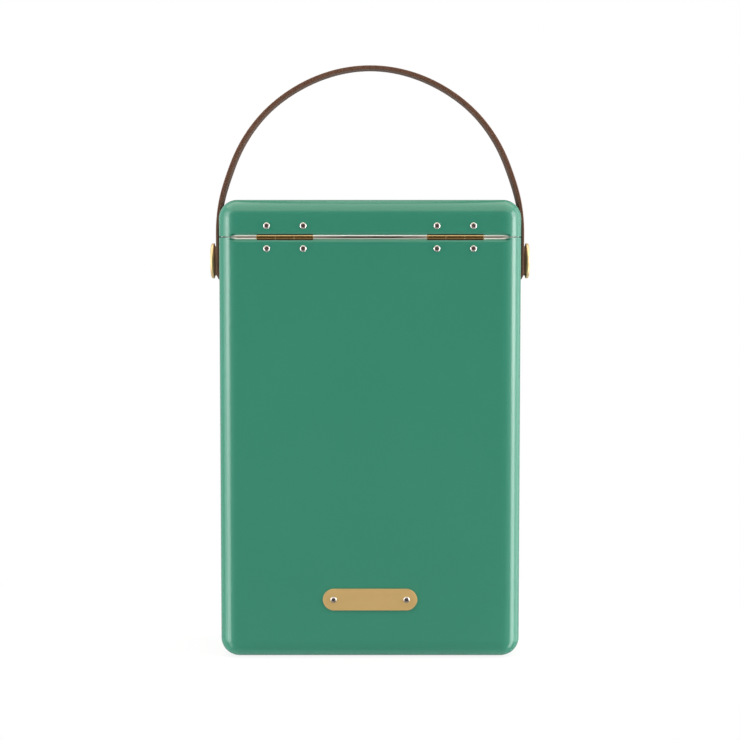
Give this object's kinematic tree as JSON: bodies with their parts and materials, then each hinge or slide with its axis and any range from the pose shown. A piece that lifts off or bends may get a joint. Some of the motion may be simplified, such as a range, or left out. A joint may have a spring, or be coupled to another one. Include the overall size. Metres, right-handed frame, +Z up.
{
  "type": "soda cooler chest",
  "caption": "Upright painted steel drinks cooler box with a back-hinged lid, insulated white liner, arched leather strap handle on round brass studs and a swing hook catch.",
  "frame": {"origin": "middle of the flat base, on the surface it stands on", "axes": "+Z up, -Y the front with the catch, +Y the back with the hinges, +X to the right seen from the front"},
  "size_m": [0.2488, 0.1077, 0.454],
  "materials": {
    "green_paint": "gloss enamel over pressed steel",
    "liner_enamel": "off-white enamel over steel sheet",
    "foam": "cut foam board",
    "seal_rubber": "dark brown soft rubber",
    "brass": "polished and lightly aged",
    "rivet_nickel": "bright nickel",
    "leather": "smooth brown leather with burnished edges",
    "dark_leather": "dark brown washers",
    "plain_steel": "zinc-plated steel"
  },
  "bodies": {
    "chest": {"body_shell": "green_paint", "body_liner": "liner_enamel", "body_insulation": "foam", "rim_seal": "seal_rubber", "hinge_leaf_body_left": "brass", "hinge_leaf_body_right": "brass", "hinge_pin_left": "brass", "hinge_pin_right": "brass", "body_hinge_rivets": "rivet_nickel", "nameplate": "brass", "nameplate_rivets": "rivet_nickel", "stud_left": "brass", "stud_right": "brass", "stud_washer_left": "dark_leather", "stud_washer_right": "dark_leather", "strap_spacer_left": "dark_leather", "strap_spacer_right": "dark_leather", "stud_backing_left": "plain_steel", "stud_backing_right": "plain_steel", "stud_nut_left": "plain_steel", "stud_nut_right": "plain_steel", "catch_plate": "brass", "catch_pivot": "brass"},
    "lid": {"lid_shell": "green_paint", "lid_liner": "liner_enamel", "lid_insulation": "foam", "hinge_leaf_lid_left": "brass", "hinge_leaf_lid_right": "brass", "lid_hinge_rivets": "rivet_nickel", "catch_peg": "brass"},
    "strap": {"strap": "leather"},
    "hook": {"catch_hook": "brass"}
  },
  "joints": [
    {"name": "lid_hinge", "type": "hinge", "parent": "chest", "child": "lid", "pos_m": [0, 0.05075, 0.3227], "axis": [-1, 0, 0], "range_deg": [0, 160], "deforming": ["strap"]},
    {"name": "strap_swing", "type": "hinge", "parent": "chest", "child": "strap", "pos_m": [0, 0, 0.3037], "axis": [1, 0, 0], "range_deg": [-100, 100]},
    {"name": "catch_swing", "type": "hinge", "parent": "chest", "child": "hook", "pos_m": [0, -0.05215, 0.3057], "axis": [0, -1, 0], "range_deg": [0, 180]}
  ]
}
